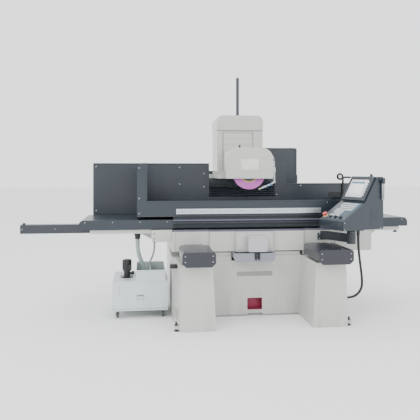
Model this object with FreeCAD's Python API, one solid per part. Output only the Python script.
import FreeCAD, Part
import math, os
from FreeCAD import Vector as V

# Surface grinder, saddle type, 500 x 1500 mm magnetic chuck, 355 mm wheel.
# Millimetres. +X along the table travel (operator's right), +Y away from the
# operator, +Z up. Origin: on the floor, at the middle of the base's width.

# ---------------------------------------------------------------- dimensions
BASE_HALF_W = 829.0      # base half width
WALL_Y = -384.0          # front wall of the base, between the pedestals
PED_Y = -865.0           # front face of the two pedestals
BASE_TOP = 600.0         # machined top under the cross ways
DECK_TOP = 640.0         # raised deck between the cross ways
BASE_BACK = 900.0        # back of the wide part
REAR_BACK = 1250.0       # back of the column seat
BASE_T = 40.0            # casting wall
WAY_X = 625.0            # cross way centre
WAY_W = 160.0
WAY_TOP = 651.95
SAD_Z0, SAD_Z1 = 652.0, 849.0     # saddle body
SAD_HX, SAD_HY = 829.0, 384.0
TWAY_TOP = 884.95        # top of the table ways on the saddle
TAB_X0, TAB_X1 = -815.0, 745.0    # table
TAB_HY = 345.0
TAB_Z0, TAB_Z1 = 885.0, 1000.0
TAB_CX = -35.0           # table centre along X as it stands
COVER_LEN_L, COVER_LEN_R = 920.0, 888.0   # table end covers
COVER_TOP = 967.0
CHUCK_L, CHUCK_W, CHUCK_H = 1500.0, 500.0, 100.0
GUARD_TOP = 1153.0       # low walls of the table splash guard
GUARD_TALL = 1529.0      # tall left wall
HX = 22.0                # wheel and wheelhead centre along X
WHEEL_Y, WHEEL_Z = 40.0, 1429.0   # wheel centre
WHEEL_R, WHEEL_W = 177.5, 50.0
SPINDLE_R = 35.0
COL_X0, COL_X1 = -231.0, 322.0    # column
COL_Y0, COL_Y1 = 715.0, 1180.0
COL_FACE = 800.0         # front face of the column between its cheeks
CAB_Y1 = 1250.0          # back of the electrical cabinet
COL_TOP = 1932.0
CAP_TOP = 2118.0
TUBE_TOP = 2610.0
SCREW_X, SCREW_Y = 55.0, 950.0    # elevating screw axis
FIT = 0.05               # radial running clearance

os.makedirs("parts", exist_ok=True)
NODES = []


def save(shape, name):
    if shape.ShapeType == "Compound":
        sol = shape.Solids
        shape = sol[0] if len(sol) == 1 else Part.makeCompound(sol)
    bad = [s for s in shape.Solids if not s.isValid()]
    if bad or not shape.Solids:
        print("BAD", name, len(bad))
    shape.exportStep("parts/%s.step" % name)
    NODES.append(name)
    b = shape.BoundBox
    print("%-26s n=%2d vol=%9.1f cm3  x %8.1f %8.1f  y %8.1f %8.1f  z %8.1f %8.1f" % (
        name, len(shape.Solids), shape.Volume / 1000, b.XMin, b.XMax, b.YMin, b.YMax, b.ZMin, b.ZMax))
    return shape


def box(x0, x1, y0, y1, z0, z1):
    return Part.makeBox(x1 - x0, y1 - y0, z1 - z0, V(x0, y0, z0))


def cyl(r, p, d, h):
    return Part.makeCylinder(r, h, V(*p), V(*d))


def cz(r, x, y, z0, z1):
    return cyl(r, (x, y, z0), (0, 0, 1), z1 - z0)


def cy(r, x, z, y0, y1):
    return cyl(r, (x, y0, z), (0, 1, 0), y1 - y0)


def cx(r, y, z, x0, x1):
    return cyl(r, (x0, y, z), (1, 0, 0), x1 - x0)


def prism(pts, d):
    w = Part.makePolygon([V(*p) for p in pts] + [V(*pts[0])])
    return Part.Face(w).extrude(V(*d))


def edges_along(shape, axis, test=lambda c: True):
    out = []
    for e in shape.Edges:
        if len(e.Vertexes) != 2:
            continue
        a, b = e.Vertexes[0].Point, e.Vertexes[1].Point
        d = b - a
        if d.Length < 1e-6:
            continue
        d.normalize()
        if abs(abs(d[axis]) - 1) < 1e-6 and test((a + b) * 0.5):
            out.append(e)
    return out


def fil(shape, r, axis, test=lambda c: True):
    es = edges_along(shape, axis, test)
    return shape.makeFillet(r, es) if es else shape


def cham(shape, r, axis, test=lambda c: True):
    es = edges_along(shape, axis, test)
    return shape.makeChamfer(r, es) if es else shape


def fuse(*s):
    out = s[0]
    for t in s[1:]:
        out = out.fuse(t)
    return out.removeSplitter()


def cut(a, *s):
    for t in s:
        a = a.cut(t)
    return a


def comp(*s):
    sol = []
    for t in s:
        sol += t.Solids
    return Part.makeCompound(sol)


def parts(*s):
    """Plates that meet without overlapping: each gives way to the ones before it."""
    out = []
    for t in s:
        for o in out:
            t = t.cut(o)
        out += t.Solids
    return Part.makeCompound(out)


def arch(x0, x1, z0, z1, r, y0, y1):
    """Plate in the XZ plane with its two top corners rounded by r, from y0 to y1."""
    p = [V(x0, y0, z0), V(x1, y0, z0), V(x1, y0, z1 - r), V(x1 - r, y0, z1), V(x0 + r, y0, z1), V(x0, y0, z1 - r)]
    k = r * math.sqrt(0.5)
    e = [Part.LineSegment(p[0], p[1]), Part.LineSegment(p[1], p[2]),
         Part.Arc(p[2], V(x1 - r + k, y0, z1 - r + k), p[3]),
         Part.LineSegment(p[3], p[4]),
         Part.Arc(p[4], V(x0 + r - k, y0, z1 - r + k), p[5]),
         Part.LineSegment(p[5], p[0])]
    w = Part.Wire([s.toShape() for s in e])
    return Part.Face(w).extrude(V(0, y1 - y0, 0))


def tube(points, d, name):
    """Round tube along straight runs joined by tangent arcs."""
    P = [V(*p) for p in points]
    n = len(P)
    edges, radii = [], []
    start = P[0]
    for i in range(1, n - 1):
        a, b = P[i] - P[i - 1], P[i + 1] - P[i]
        run = min(a.Length, b.Length)
        ua, ub = V(a), V(b)
        ua.normalize(); ub.normalize()
        turn = ua.getAngle(ub)
        r = 0.45 * run / math.tan(turn / 2)
        t = 0.45 * run
        p0, p2 = P[i] - ua * t, P[i] + ub * t
        bis = ub - ua
        bis.normalize()
        c = P[i] + bis * (r / math.cos(turn / 2))
        m = c - bis * r
        edges.append(Part.LineSegment(start, p0).toShape())
        edges.append(Part.Arc(p0, m, p2).toShape())
        radii.append((round(r), round(math.degrees(turn))))
        start = p2
    edges.append(Part.LineSegment(start, P[-1]).toShape())
    w = Part.Wire(edges)
    d0 = P[1] - P[0]
    prof = Part.Wire([Part.Circle(P[0], d0, d / 2).toShape()])
    s = w.makePipeShell([prof], True, False)
    L = w.Length
    print("%s runs %s radii,turns %s length %.1f  volume ratio %.4f" % (
        name, [round((P[i + 1] - P[i]).Length) for i in range(n - 1)], radii, L, s.Volume / (math.pi * d * d / 4 * L)))
    return s


# ================================================================== base
TX_L, TX_R = -237.0, 173.0      # trough for the cross-feed screw
LOW = 555.0                     # top of the main block, floor of the trough
base = box(-BASE_HALF_W, BASE_HALF_W, WALL_Y, BASE_BACK, 0, LOW)
for c in (box(-790, -125, WALL_Y + BASE_T, 240, BASE_T, 515), box(125, 790, WALL_Y + BASE_T, 240, BASE_T, 515),
          box(-790, -20, 280, BASE_BACK - BASE_T, BASE_T, 515), box(20, 790, 280, BASE_BACK - BASE_T, BASE_T, 515)):
    base = base.cut(c)
win = fil(box(-76, 76, WALL_Y - 5, -300, 60, 178), 8, 1)
base = cut(base, win, box(-76, 76, WALL_Y - 5, WALL_Y + BASE_T, -5, 26))
save(base, "base_casting")


def xb(s, x0, x1, *r):
    a, b = sorted((s * x0, s * x1))
    return box(a, b, *r)


secs = []
for sd in (-1, 1):
    lo = [V(sd * x, y, 0) for x, y in ((452, PED_Y), (785, PED_Y), (829, WALL_Y), (452, WALL_Y))]
    hi = [V(sd * x, y, BASE_TOP) for x, y in ((482, PED_Y), (770, PED_Y), (814, WALL_Y), (482, WALL_Y))]
    ped = Part.makeLoft([Part.makePolygon(w + [w[0]]) for w in (lo, hi)], True, True)
    ped = ped.fuse(fil(xb(sd, 775, 832, -842, -798, 24, 52), 12, 2, lambda c: abs(c.x) > 820))
    if sd > 0:
        ped = ped.fuse(cx(17, -720, 235, 780, 812))
    ped = ped.removeSplitter()
    ped = cut(ped, xb(sd, 515, 735, PED_Y + BASE_T, WALL_Y - BASE_T, BASE_T, 540),
              fil(xb(sd, 762, 860, -690, -590, 70, 165), 8, 0), cz(9 + FIT, sd * 812, -820, 10, 70))
    secs.append(ped)
    inner_x = 237 if sd < 0 else 173
    secs.append(xb(sd, 829, inner_x, WALL_Y, BASE_BACK, LOW, BASE_TOP))
    secs.append(xb(sd, 466, inner_x, WALL_Y, 665, BASE_TOP, DECK_TOP))
secs.append(box(TX_L, TX_R, 680, BASE_BACK, LOW, BASE_TOP))
secs.append(box(-500, 500, BASE_BACK, REAR_BACK, 0, BASE_TOP).cut(box(-460, 460, BASE_BACK + BASE_T, REAR_BACK - BASE_T, BASE_T, 540)))
save(comp(*secs), "bed_sections")
feet = []
for (x, y, front) in ((-812, -820, 1), (812, -820, 1), (-856, 820, 0), (856, 820, 0)):
    sg = 1 if x > 0 else -1
    if not front:
        feet.append(fil(xb(sg, 829, 882, y - 34, y + 34, 24, 52), 16, 2, lambda c: abs(c.x) > 870).cut(cz(9 + FIT, x, y, 10, 70)))
    pad = cz(20, x, y, 0, 12)
    pad = pad.makeChamfer(3, [e for e in pad.Edges if e.BoundBox.ZMin > 11])
    hexa = prism([(x + 15 * math.cos(math.radians(60 * i)), y + 15 * math.sin(math.radians(60 * i)), 54) for i in range(6)], (0, 0, 12))
    feet.append(fuse(pad, cz(9, x, y, 11, 84), hexa))
save(comp(*feet), "levelling_feet")

rails = []
for s in (-1, 1):
    r = box(s * WAY_X - WAY_W / 2, s * WAY_X + WAY_W / 2, -700, 665, BASE_TOP, WAY_TOP)
    rails.append(cham(r, 6, 1, lambda c: c.z > BASE_TOP + 5))
save(comp(*rails), "cross_guideways")

# cross-feed nut, bolted to the floor of the trough
nut = fuse(box(-30 - 60, -30 + 60, -80, 40, 555, 575), fil(box(-30 - 45, -30 + 45, -70, 30, 575, 635), 12, 1, lambda c: c.z > 630))
nut = nut.cut(cy(16 + FIT, -30, 600, -100, 100))
save(nut, "cross_feed_nut")

# ================================================================== column
foot = fil(box(-470, 470, 680, COL_Y1, BASE_TOP, 960), 20, 2)
foot = foot.cut(box(-190, 190, 760, 1100, BASE_TOP - 5, 900))
column = foot.fuse(box(COL_X0, COL_X1, COL_FACE, COL_Y1, 955, COL_TOP))
for x0, x1 in ((COL_X0, -166), (206, COL_X1)):
    column = column.fuse(box(x0, x1, COL_Y0, COL_FACE + 5, 955, COL_TOP))
column = column.fuse(box(-170, 210, COL_Y0, COL_FACE + 5, 1920, COL_TOP)).removeSplitter()
column = cut(column, box(SCREW_X - 100, SCREW_X + 100, 835, 1120, 1000, 1890), box(SCREW_X - 50, SCREW_X + 50, COL_FACE - 5, 840, 1290, 1810),
             cz(20, SCREW_X, SCREW_Y, 1880, COL_TOP + 5))
save(column, "column")
vw = []
for x0, x1 in ((-140, -60), (112, 192)):
    vw.append(cham(box(x0, x1, 740, COL_FACE, 962, 1918), 5, 2, lambda c: c.y < 745))
save(comp(*vw), "vertical_guideways")
uc = box(-158, 202, 722, 736, 1700, 1920)
for x in (-120, -60, 0, 60, 120, 165):
    uc = uc.cut(box(x, x + 3, 720, 724, 1699, 1921))
save(uc, "upper_way_cover")

cap = box(COL_X0 - 3, COL_X1 + 3, COL_Y0 - 5, COL_Y1 + 5, COL_TOP, CAP_TOP)
cap = fil(cap, 70, 1, lambda c: c.z > CAP_TOP - 1)
cap_in = box(COL_X0 + 2, COL_X1 - 2, COL_Y0, COL_Y1, COL_TOP - 5, CAP_TOP - 5)
cap_in = fil(cap_in, 65, 1, lambda c: c.z > CAP_TOP - 6)
cap = cap.cut(cap_in).cut(cz(19, SCREW_X, SCREW_Y, CAP_TOP - 20, CAP_TOP + 10))
save(cap, "column_top_cover")
tb = cz(19, SCREW_X, SCREW_Y, CAP_TOP - 5, TUBE_TOP).cut(cz(15.5, SCREW_X, SCREW_Y, CAP_TOP - 10, TUBE_TOP - 6))
collar = cz(34, SCREW_X, SCREW_Y, CAP_TOP, CAP_TOP + 14).cut(cz(17, SCREW_X, SCREW_Y, CAP_TOP - 1, CAP_TOP + 15))
tb = fuse(tb, collar)
tb = tb.makeFillet(5, [e for e in tb.Edges if e.BoundBox.ZMin > TUBE_TOP - 1 and e.BoundBox.XLength > 30])
save(tb, "screw_guard_tube")
en = cz(62, SCREW_X, SCREW_Y, COL_TOP + 4, COL_TOP + 34).fuse(cz(40, SCREW_X, SCREW_Y, COL_TOP + 0.1, COL_TOP + 60)).cut(cz(12 + FIT, SCREW_X, SCREW_Y, COL_TOP - 5, COL_TOP + 80))
save(en.removeSplitter(), "elevating_nut")

# electrical cabinet on the column's right side, door on its outer face
cab = fil(box(COL_X1, 764, 850, CAB_Y1, 970, 1734), 8, 2, lambda c: c.x > 700)
cab = cab.cut(box(COL_X1 + 3, 765, 862, CAB_Y1 - 12, 985, 1719))
save(cab, "electrical_cabinet")
door = fil(box(764.5, 788, 852, CAB_Y1 - 10, 974, 1730), 6, 0)
door = fuse(door, cz(7, 788 + 3, CAB_Y1 - 14, 1050, 1120), cz(7, 788 + 3, CAB_Y1 - 14, 1580, 1650),
            fil(box(788, 806, 880, 905, 1300, 1400), 6, 2))
save(door, "cabinet_door")

# ================================================================== saddle
sad = box(-SAD_HX, SAD_HX, -SAD_HY, SAD_HY, SAD_Z0, SAD_Z1)
sad = sad.fuse(box(-455, 499, -SAD_HY - 26, -SAD_HY + 5, SAD_Z0, SAD_Z1))
for s in (-1, 1):
    x0, x1 = sorted((s * 496, s * (WAY_X - WAY_W / 2 - FIT)))
    sad = sad.fuse(box(x0, x1, -370, 370, 606, SAD_Z0 + 5))
for y0, y1 in ((-175, -85), (130, 220)):
    sad = sad.fuse(box(-SAD_HX, SAD_HX, y0, y1, SAD_Z1 - 5, TWAY_TOP))
sad = sad.removeSplitter()
# hangers that carry the cross-feed screw
sad = sad.fuse(box(-90, 30, -SAD_HY - 26, -SAD_HY, 560, SAD_Z0 + 5)).fuse(box(-90, 30, 340, 366, 560, SAD_Z0 + 5)).removeSplitter()
sad = sad.cut(cy(16 + FIT, -30, 600, -600, 600))
sad = fil(sad, 14, 2, lambda c: abs(c.x) > SAD_HX - 1 and abs(c.y) > SAD_HY - 1)
for x0, x1 in ((-790, -300), (-260, 260), (300, 790)):
    sad = sad.cut(box(x0, x1, -345, 345, 690, 815))
save(sad, "saddle")


def arm(s, x1, brk):
    x0, xe = sorted((s * SAD_HX, x1))
    a = box(x0, xe, -320, 380, 831, 868)
    for y0, y1 in ((-175, -85), (130, 220)):
        a = a.fuse(box(x0, xe, y0, y1, 863, TWAY_TOP))
    a = a.removeSplitter()
    return comp(a, brk.cut(a))


bl = fil(box(-1025, -SAD_HX, -380, 60, 753, 868), 10, 1, lambda c: c.x < -1000)
save(arm(-1, -1629, bl), "saddle_arm_left")
br = fil(box(SAD_HX, 1225, -380, 20, 636, 868), 10, 1, lambda c: c.x > 1200)
save(arm(1, 1553, br), "saddle_arm_right")

rg = box(-2295, -1629, -300, -200, 840, 925).cut(box(-2291, -1620, -296, -204, 844, 921))
rg = rg.fuse(box(-2280, -2255, -262, -238, 925, 941)).removeSplitter()
save(rg, "rod_guard")

# covers over the front ends of the cross ways, open underneath and behind
for s, nm in ((-1, "way_cover_left"), (1, "way_cover_right")):
    x0, x1 = (-768, -470) if s < 0 else (470, 795)
    pr = [(x0 + 34, -990, 603), (x1 - 34, -990, 603), (x1, -990, 634), (x1, -990, 716), (x1 - 14, -990, 734), (x0 + 14, -990, 734), (x0, -990, 716), (x0, -990, 634)]
    c = prism(pr, (0, 476, 0))
    c = c.cut(box(x0 + 6, x1 - 6, -976, -500, 590, 722))
    # bridge back to the saddle, over the guideway
    c = c.fuse(box(x0 + 60, x1 - 60, -520, -SAD_HY, 700, 722)).removeSplitter()
    save(c, nm)

hs = fil(box(-205, 185, -470, -SAD_HY - 26, SAD_Z0, 846), 34, 2, lambda c: c.y < -460)
hs = hs.cut(cy(30, -30, 700, -480, -380)).cut(box(-60, 0, -480, -400, 640, 700))
save(hs, "cross_drive_housing")
cm = fil(box(-98, 92, -565, -470, 664, 822), 14, 1)
cm = cm.fuse(box(-70, 64, -470, -455, 690, 800)).cut(box(-70, 64, -470, -450, 690, 800)).removeSplitter()
save(cm, "cross_feed_motor")
pan_o = fil(box(-232, 168, -548, -412, 566, 651), 42, 1, lambda c: c.z < 570)
pan_i = fil(box(-226, 162, -542, -418, 572, 660), 37, 1, lambda c: c.z < 575)
pan = pan_o.cut(pan_i).cut(cy(24, -30, 600, -430, -400))
save(pan, "drip_pan")
scr = fuse(cy(16, -30, 600, -500, 392), cy(22, -30, 600, -383, -370))
save(scr, "cross_feed_screw")

cyli = cx(36, -250, 886, -800, 790).cut(cx(30, -250, 886, -788, 778)).cut(cx(14 + FIT, -250, 886, -810, 800))
feet2 = [box(x, x + 40, -290, -210, SAD_Z1, 862) for x in (-700, 560)]
cyli = fuse(cyli, *[f.cut(cx(33, -250, 886, -900, 900)) for f in feet2])
save(cyli, "hydraulic_cylinder")

# rear splash panels, standing on the arms behind the table
def rear(x0, x1, z1, posts, tall=None):
    p = [box(x0, x1, 385, 388, 948, z1), box(x0, x1, 388, 398, z1 - 3, z1), box(x0, x1, 388, 398, 948, 951),
         box(x0, x0 + 3, 388, 398, 948, z1), box(x1 - 3, x1, 388, 398, 948, z1)]
    if tall:
        a, b, zt = tall
        p += [box(a, b, 385, 388, z1, zt), box(a, b, 388, 398, zt - 3, zt), box(a, a + 3, 388, 398, z1, zt), box(b - 3, b, 388, 398, z1, zt)]
    for px in posts:
        p += [box(px - 20, px + 20, 364, 380, 868, 960), box(px - 20, px + 20, 380, 385, 948, 960)]
    return parts(*p)


save(rear(-1664, -369, 1537, (-1500, -950)), "rear_splash_left")
save(rear(388, 1600, 1308, (900, 1450), (388, 530, 1541)), "rear_splash_right")

# console arm: box section from the saddle front to the swivel post
PX, PY = 875.0, -720.0
ax0, ay0 = 712.0, -SAD_HY
dx, dy = PX - ax0, PY - ay0
L = math.hypot(dx, dy)
ux, uy = dx / L, dy / L
nx, ny = -uy * 30, ux * 30
bar = prism([(ax0 + nx - ux * 20, ay0 + ny - uy * 20, 763), (PX + nx, PY + ny, 763), (PX - nx, PY - ny, 763), (ax0 - nx - ux * 20, ay0 - ny - uy * 20, 763)], (0, 0, 78))
bar = bar.cut(box(0, 1500, -SAD_HY, 0, 700, 900))
flange = box(650, 780, -SAD_HY - 12, -SAD_HY, 752, 822)
post = fuse(cz(42, PX, PY, 752, 850), cz(29, PX, PY, 850, 892), cz(25, PX, PY, 892, 935))
plate = fil(box(PX - 40, PX + 118, PY - 40, PY + 40, 878, 894), 20, 2)
gl = cz(17, 945, PY, 850, 880)
save(fuse(bar, flange, post, plate, gl), "console_arm")

# hose connectors under the left arm
h1 = fuse(cz(27, -1168, -200, 765, 831), cz(33, -1168, -200, 800, 814))
h2 = fuse(cz(13, -999, -280, 735, 753))
save(comp(h1, h2), "hose_fittings")

# ================================================================== table
tab = box(TAB_X0, TAB_X1, -TAB_HY, TAB_HY, TAB_Z0, TAB_Z1)
tab = cut(tab, box(TAB_X0 - 1, TAB_X1 + 1, -302, -198, TAB_Z0 - 1, 932),
          box(TAB_X0 - 1, TAB_X1 + 1, -TAB_HY - 1, -TAB_HY + 10, 940, 950),
          box(TAB_X0 - 1, TAB_X1 + 1, -TAB_HY - 1, -TAB_HY + 14, 905, 926),
          box(TAB_X0 - 1, TAB_X1 + 1, TAB_HY - 10, TAB_HY + 1, 930, 944))
tab = cham(tab, 5, 0, lambda c: c.z > TAB_Z1 - 1)
save(tab, "table")


def end_cover(x0, x1, s, low):
    """Inverted channel that carries the table's length on over the arm, rounded at its outer end."""
    xe = x0 if s < 0 else x1
    c = fil(box(x0, x1, -TAB_HY, TAB_HY, 877, COVER_TOP), 46, 1, lambda c: c.z > COVER_TOP - 1 and abs(c.x - xe) < 1)
    a, b = (x0 + 4, x1 + 1) if s < 0 else (x0 - 1, x1 - 4)
    xi = a if s < 0 else b
    i = fil(box(a, b, -TAB_HY + 4, TAB_HY - 4, 870, COVER_TOP - 4), 42, 1, lambda c: c.z > COVER_TOP - 5 and abs(c.x - xi) < 1)
    return c.cut(i).cut(box(xe - 6, xe + 6, -TAB_HY + 4, TAB_HY - 4, 870, low))


save(end_cover(TAB_X0 - COVER_LEN_L, TAB_X0, -1, 944), "table_end_cover_left")
save(end_cover(TAB_X1, TAB_X1 + COVER_LEN_R, 1, 892), "table_end_cover_right")

dr = box(-787, 690, -382, -362, 1024, 1075)
dr = dr.cut(box(-800, 700, -383, -374, 1043, 1055)).cut(box(-800, 700, -376, -370, 1037, 1061))
save(dr, "dog_rail")

cx0 = TAB_CX - CHUCK_L / 2
ch = box(cx0, cx0 + CHUCK_L, -CHUCK_W / 2, CHUCK_W / 2, TAB_Z1, TAB_Z1 + CHUCK_H)
ch = cham(ch, 3, 0)
ch = cham(ch, 3, 1)
save(ch, "magnetic_chuck")

GX0, GX1 = -1171.0, 1101.0
GY = 360.0
t = 3.0
# rounded top corner of the tall return
rc = box(GX0 - 1, GX0 + 55, -GY - 10, GY + 10, GUARD_TALL - 55, GUARD_TALL + 1).cut(
    cyl(55, (GX0 + 55, -GY - 20, GUARD_TALL - 55), (0, 1, 0), 2 * GY + 40))
g = parts(box(GX0, GX0 + t, -GY - 2, GY + 2, 997, GUARD_TALL).cut(rc),
          box(GX0 + t, GX0 + 98, -GY - 2, -GY + 1, 997, GUARD_TALL).cut(rc),
          box(GX0 + t, GX0 + 60, GY - 1, GY + 2, 997, GUARD_TALL).cut(rc),
          box(GX0 + 98, GX1, -GY - 2, -GY + 1, 997, GUARD_TOP),
          box(GX0 + 60, GX1, GY - 1, GY + 2, 997, GUARD_TOP),
          box(GX1 - t, GX1, -GY + 1, GY - 1, 997, GUARD_TOP),
          box(GX0 + t, TAB_X0 - 1, -GY + 1, GY - 1, 997, 1000),
          box(TAB_X1 + 1, GX1 - t, -GY + 1, GY - 1, 997, 1000),
          box(TAB_X0 - 1, TAB_X1 + 1, -GY + 1, -TAB_HY, 997, 1000),
          box(TAB_X0 - 1, TAB_X1 + 1, TAB_HY, GY - 1, 997, 1000),
          box(GX0 + 98, GX1 - t, -GY + 1, -GY + 12, GUARD_TOP - 3, GUARD_TOP),
          box(GX0 + 95, GX0 + 98, -GY + 1, -GY + 14, GUARD_TOP, GUARD_TALL))
save(g, "splash_guard")

rod = fuse(cx(14, -250, 886, -1480, 1525), cx(29.95, -250, 886, -55, -15),
           box(1500, 1525, -300, -200, 872, COVER_TOP - 4))
save(rod, "piston_rod")

# ================================================================== wheelhead
wh = fuse(box(HX - 182, HX + 182, 680, 740 - FIT, 1365, 1700),
          fil(box(HX - 182, HX + 182, 130, 685, 1365, 1690), 60, 1, lambda c: c.z > 1680),
          fil(box(HX - 313, HX + 313, 250, 685, 1365, 1412), 40, 2, lambda c: c.y < 260),
          box(-470, 470, 672, 680, 1267, 1450), box(-470, 470, 672, 706, 1267, 1275))
wh = cut(wh, cy(58, HX, WHEEL_Z, 186, 600), cy(SPINDLE_R + FIT, HX, WHEEL_Z, 100, 655))
br2 = box(SCREW_X - 35, SCREW_X + 35, 735, 980, 1500, 1545)
br2 = br2.cut(cz(12, SCREW_X, SCREW_Y, 1490, 1560))
wh = wh.fuse(br2).removeSplitter()
save(wh, "wheelhead")
save(cz(12, SCREW_X, SCREW_Y, 1500, 2380), "elevating_screw")

st = cy(58, HX, WHEEL_Z, 280, 520).cut(cy(46.1, HX, WHEEL_Z, 270, 530))
save(st, "spindle_motor")
sh = fuse(cy(SPINDLE_R, HX, WHEEL_Z, 75, 650), cy(46, HX, WHEEL_Z, 290, 510), cy(20, HX, WHEEL_Z, -2, 80))
save(sh, "spindle_shaft")
wb = 63.5
wheel = cy(WHEEL_R, HX, WHEEL_Z, WHEEL_Y - WHEEL_W / 2, WHEEL_Y + WHEEL_W / 2).cut(cy(wb, HX, WHEEL_Z, -50, 200))
wheel = wheel.makeFillet(2, [e for e in wheel.Edges if abs(e.BoundBox.XLength - 2 * WHEEL_R) < 1])
save(wheel, "grinding_wheel")
fl = fuse(cy(88, HX, WHEEL_Z, 5, 15), cy(wb, HX, WHEEL_Z, 14, 66), cy(88, HX, WHEEL_Z, 65, 75))
fl = fl.cut(cy(20, HX, WHEEL_Z, -10, 90)).cut(cy(70, HX, WHEEL_Z, 4, 9).cut(cy(34, HX, WHEEL_Z, 0, 20)))
save(fl, "wheel_flange")

GXA, GXB, GZ0, GZ1, GR = HX - 256, HX + 256, 1368.0, 1697.0, 122.0
gd = arch(GXA, GXB, GZ0, GZ1, GR, -10, 90)
gd = gd.cut(arch(GXA + 7, GXB - 7, GZ0 - 20, GZ1 - 7, GR - 7, -20, 82)).cut(cy(60, HX, WHEEL_Z, 70, 100))
gd = gd.fuse(box(HX - 170, HX + 170, 90, 130, 1500, 1640).cut(cy(100, HX, WHEEL_Z, 80, 140))).removeSplitter()
# fixed hinge knuckles on the right edge
HGX, HGY = GXB + 8, -16.0
for z0 in (1430, 1530):
    k = cz(8, HGX, HGY, z0, z0 + 26).cut(cz(4 + FIT, HGX, HGY, z0 - 1, z0 + 40))
    gd = gd.fuse(box(GXB - 4, GXB + 4, -8, 10, z0, z0 + 26)).fuse(k.fuse(box(GXB, GXB + 8, -12, 6, z0, z0 + 26).cut(cz(8, HGX, HGY, z0 - 1, z0 + 40))))
gd = gd.removeSplitter()
# back wall, two side walls and the arched top, welded face to face
far = 400.0
zones = (box(HX - far, HX + far, 82, 200, 1300, 1800), box(HX - far, HX, -60, 82, 1300, GZ1 - GR), box(HX, HX + far, -60, 82, 1300, GZ1 - GR),
         box(HX - far, GXA + GR, -60, 82, GZ1 - GR, 1800), box(GXA + GR, GXB - GR, -60, 82, GZ1 - GR, 1800), box(GXB - GR, HX + far, -60, 82, GZ1 - GR, 1800))
save(comp(*[k for z in zones for k in gd.common(z).Solids]), "wheel_guard")
dr_ = arch(GXA, GXB, GZ0, GZ1, GR, -22, -10.5)
dr_ = dr_.makeFillet(4, [e for e in dr_.Edges if abs(e.BoundBox.YMin + 22) < 0.01 and abs(e.BoundBox.YMax + 22) < 0.01 and e.BoundBox.ZMax > GZ0 + 1])
notch = [cz(8.6, HGX, HGY, z0 - 0.5, z0 + 26.5).fuse(box(GXB - 5, GXB + 9, -17, 0, z0 - 0.5, z0 + 26.5)) for z0 in (1430, 1530)]
dr_ = cut(dr_, *notch)
for z0 in (1457, 1503):
    k = fuse(cz(8, HGX, HGY, z0, z0 + 26), box(GXB - 8, GXB + 6, -22, -12, z0, z0 + 26))
    dr_ = dr_.fuse(k)
dr_ = dr_.fuse(cz(4, HGX, HGY, 1428, 1558)).removeSplitter()
save(dr_, "guard_door")

# coolant pipe on the guard's right side and its jointed nozzle
NX, NY = GXB + 26, 40.0
seg = [fuse(cz(9, NX, NY, 1330, 1452), cz(14, NX, NY, 1440, 1492)).cut(cx(6 + FIT, NY, 1470, NX - 6, NX + 40))]
seg.append(box(GXB, NX, NY - 8, NY + 8, 1400, 1420))
pts = [(NX, 1330), (NX - 6, 1318), (NX - 40, 1304), (NX - 120, 1272), (NX - 160, 1256)]
a, b = V(NX, NY, 1330), V(NX - 40, NY, 1305)
seg.append(Part.makeSphere(14, a))
d = b - a
seg.append(Part.makeCylinder(11, d.Length, a, d))
seg.append(Part.makeSphere(13, b))
c = V(NX - 112, NY, 1276)
d = c - b
seg.append(Part.makeCylinder(11, d.Length, b, d))
seg.append(Part.makeSphere(13, c))
e_ = V(NX - 158, NY, 1258)
d = e_ - c
seg.append(Part.makeCone(12, 5, d.Length, c, d))
noz = fuse(*seg)
save(comp(*[k for z in (box(NX - 400, NX + 100, 0, 100, 1335, 1600), box(NX - 400, NX + 100, 0, 100, 1200, 1335)) for k in noz.common(z).Solids]), "coolant_nozzle")
vb = fuse(cx(6, NY, 1470, NX - 5, NX + 30), fil(box(NX + 24, NX + 31, NY - 7, NY + 7, 1462, 1512), 3, 0))
save(vb, "nozzle_valve")

# accordion bellows over the vertical ways
BZ0, BZ1 = 960.0, 1267.0
nf = 13
pz = (BZ1 - BZ0) / nf
front, back = [], []
for i in range(nf):
    z = BZ0 + i * pz
    front += [(-470, 700, z), (-470, 682, z + pz / 2)]
front.append((-470, 700, BZ1))
back = [(-470, 706, BZ1), (-470, 706, BZ0)]
bel = prism(front + back, (940, 0, 0))
save(bel, "way_bellows")

# ================================================================== coolant tank
TX0, TX1, TY0, TY1, TZ0, TZ1 = -1408.0, -868.0, -370.0, 150.0, 80.0, 370.0
tk = parts(box(TX0, TX1, TY0, TY1, TZ0, TZ0 + 4), box(TX0, TX1, TY0, TY0 + 4, TZ0, TZ1), box(TX0, TX1, TY1 - 4, TY1, TZ0, TZ1),
           box(TX0, TX0 + 4, TY0, TY1, TZ0, TZ1), box(TX1 - 4, TX1, TY0, TY1, TZ0, TZ1),
           box(TX0, -1165, TY0, TY1, TZ1 - 4, TZ1).cut(cz(30, -1275, -150, TZ1 - 10, TZ1 + 5)), box(-906, TX1, TY0, TY1, TZ1 - 4, TZ1),
           box(-1165, -906, TY0, TY0 + 14, TZ1 - 4, TZ1), box(-1165, -906, TY1 - 14, TY1, TZ1 - 4, TZ1))
save(tk, "coolant_tank")
fb = parts(box(-1179, -893, TY0, TY0 + 4, TZ1, 475), box(-1179, -893, TY1 - 4, TY1, TZ1, 475), box(-1179, -1175, TY0, TY1, TZ1, 475),
           box(-897, -893, TY0, TY1, TZ1, 475), box(-1041, -1037, TY0 + 4, TY1 - 4, TZ1, 470), box(-1179, -893, TY0, 60, TZ1, TZ1 + 4))
save(fb, "filter_box")
pm = fuse(cz(60, -1275, -150, TZ1, TZ1 + 9), cz(32, -1275, -150, TZ1 + 5, 440), cz(43, -1275, -150, 436, 532), cz(47, -1275, -150, 524, 546),
          cz(27, -1275, -150, 130, TZ1 + 3), cx(13, -150, 408, -1275, -1212), cz(13, -1215, -150, 396, 430), fil(box(-1262, -1226, -206, -190, 452, 500), 6, 1))
save(pm, "coolant_pump")
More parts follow.
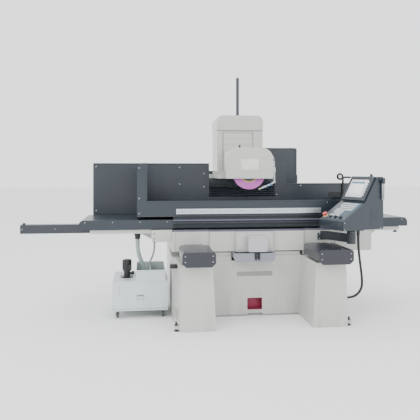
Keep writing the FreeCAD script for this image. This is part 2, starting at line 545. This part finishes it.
CAS = [(-1362, -318), (-914, -318), (-1362, 98), (-914, 98)]
forks = []
for (x, y) in CAS:
    f = fuse(cz(24, x, y, 73, 80), box(x - 17, x + 17, y - 14, y + 40, 66, 74), box(x - 17, x - 13.5, y + 6, y + 40, 24, 70), box(x + 13.5, x + 17, y + 6, y + 40, 24, 70))
    f = f.cut(cx(5 + FIT, y + 24, 32, x - 30, x + 30))
    forks.append(f)
save(comp(*forks), "caster_forks")
for nm, pair in (("caster_wheels_front", CAS[:2]), ("caster_wheels_rear", CAS[2:])):
    y = pair[0][1] + 24
    save(comp(*[fuse(cx(5, y, 32, x - 22, x + 22), cx(32, y, 32, x - 11, x + 11), cx(9, y, 32, x - 13, x + 13)) for x in (pair[0][0], pair[1][0])]), nm)

# ================================================================== console
# footprint: front lip corner near the operator, depth along (cx_, cy_), width along (wx, wy)
al = math.radians(70)
dxc, dyc = math.sin(al), math.cos(al)         # depth direction, front to back
wxc, wyc = math.cos(al), -math.sin(al)        # width direction, left to right seen by the operator
CW, CD = 340.0, 490.0
O = V(PX, PY, 0) - V(dxc, dyc, 0) * (CD / 2) - V(wxc, wyc, 0) * (CW / 2)


def cpt(s, w, z):
    return O + V(dxc, dyc, 0) * s + V(wxc, wyc, 0) * w + V(0, 0, z)


prof = [(0, 900), (0, 987), (265, 1154), (411, 1395), (CD, 1395), (CD, 900)]
wire = Part.makePolygon([cpt(s, 0, z) for s, z in prof] + [cpt(*[prof[0][0], 0, prof[0][1]])])
body = Part.Face(wire).extrude(V(wxc, wyc, 0) * CW)
body = body.makeFillet(8, [e for e in body.Edges if abs((e.Vertexes[1].Point - e.Vertexes[0].Point).z) < 1 and e.Vertexes[0].Point.z > 980 and abs((e.Vertexes[1].Point - e.Vertexes[0].Point).Length - CW) < 1])
body = body.cut(cz(25 + FIT, PX, PY, 890, 940))
# unit vectors on the keypad slope and the screen slope
k_d = cpt(265, 0, 1154) - cpt(0, 0, 987); k_d.normalize()
s_d = cpt(411, 0, 1395) - cpt(265, 0, 1154); s_d.normalize()
wv = V(wxc, wyc, 0)
k_n = wv.cross(k_d); s_n = wv.cross(s_d)
if k_n.z < 0: k_n = k_n * -1
if s_n.z < 0: s_n = s_n * -1


def slab(o, du, lu, dv, lv, dn, h0, h1):
    """Block on a sloped face: corner o, sides lu along du and lv along dv, from h0 to h1 off the face."""
    q = [o + dn * h0, o + du * lu + dn * h0, o + du * lu + dv * lv + dn * h0, o + dv * lv + dn * h0]
    f = Part.Face(Part.makePolygon(q + [q[0]]))
    return f.extrude(dn * (h1 - h0))


so = cpt(265, 0, 1154)
bez = slab(so + wv * 14 + s_d * 12, wv, 312, s_d, 262, s_n, 0.0, 18)
bez = bez.cut(slab(so + wv * 34 + s_d * 40, wv, 244, s_d, 206, s_n, 12, 30))
ko = cpt(0, 0, 987)


def kp(w, u):
    return ko + wv * w + k_d * u


# controls on the keypad slope, with blind bores in the body
EST, KNB = kp(30, 62), kp(190, 46)
body = body.cut(Part.makeCylinder(11 + FIT, 40, EST - k_n * 30, k_n)).cut(Part.makeCylinder(6 + FIT, 30, KNB - k_n * 20, k_n))
save(body, "console_body")
save(bez, "display_panel")
es = Part.makeCylinder(11, 38, EST - k_n * 18, k_n).fuse(Part.makeCylinder(23, 16, EST + k_n * 16, k_n))
es = es.makeFillet(5, [e for e in es.Edges if e.Length > 120 and (e.CenterOfMass - EST).dot(k_n) > 25])
save(es.removeSplitter(), "estop_button")
kb = Part.makeCylinder(6, 30, KNB - k_n * 16, k_n).fuse(Part.makeCylinder(15, 16, KNB + k_n * 1.0, k_n)).fuse(slab(KNB - wv * 4 - k_d * 14, wv, 8, k_d, 28, k_n, 10, 22))
save(kb.removeSplitter(), "selector_knob")
print("console corners", [tuple(round(v) for v in cpt(s, w, 900)) for s, w in ((0, 0), (0, CW), (CD, CW), (CD, 0))])
print("EST", EST, "KNB", KNB, "kn", k_n, "sn", s_n, "kd", k_d, "sd", s_d, "wv", wv, "O", O)

# work lamp on the right splash panel: stem with a ring-shaped head
LX, LY = 1204.0, 371.0
lamp = fuse(cz(12, LX, LY, 1180, 1372), fil(box(LX - 18, LX + 18, 363.5, 385, 1160, 1190), 5, 2))
ring = Part.makeTorus(30, 12, V(LX - 36, LY, 1384), V(0, 1, 0))
lamp = lamp.fuse(Part.makeSphere(14, V(LX, LY, 1374))).fuse(ring)
save(lamp.removeSplitter(), "work_lamp")

# ================================================================== free hoses and conduit
CON = [(945, -720, 850), (945, -720, 742), (955, -721, 632), (969, -722, 522), (982, -723, 417), (982, -722, 333), (946, -721, 271), (883, -720, 235), (812, -720, 235)]
save(tube(CON, 24.0, "console_conduit"), "console_conduit")
DRN = [(-1168, -200, 765), (-1168, -200, 698), (-1160, -192, 622), (-1136, -176, 547), (-1106, -160, 476), (-1084, -150, 405)]
save(tube(DRN, 42.0, "drain_hose"), "drain_hose")
RET = [(-999, -280, 735), (-999, -280, 680), (-1010, -274, 620), (-1034, -266, 560), (-1060, -258, 500), (-1074, -254, 435)]
save(tube(RET, 18.0, "return_hose"), "return_hose")

print(len(NODES), "nodes")
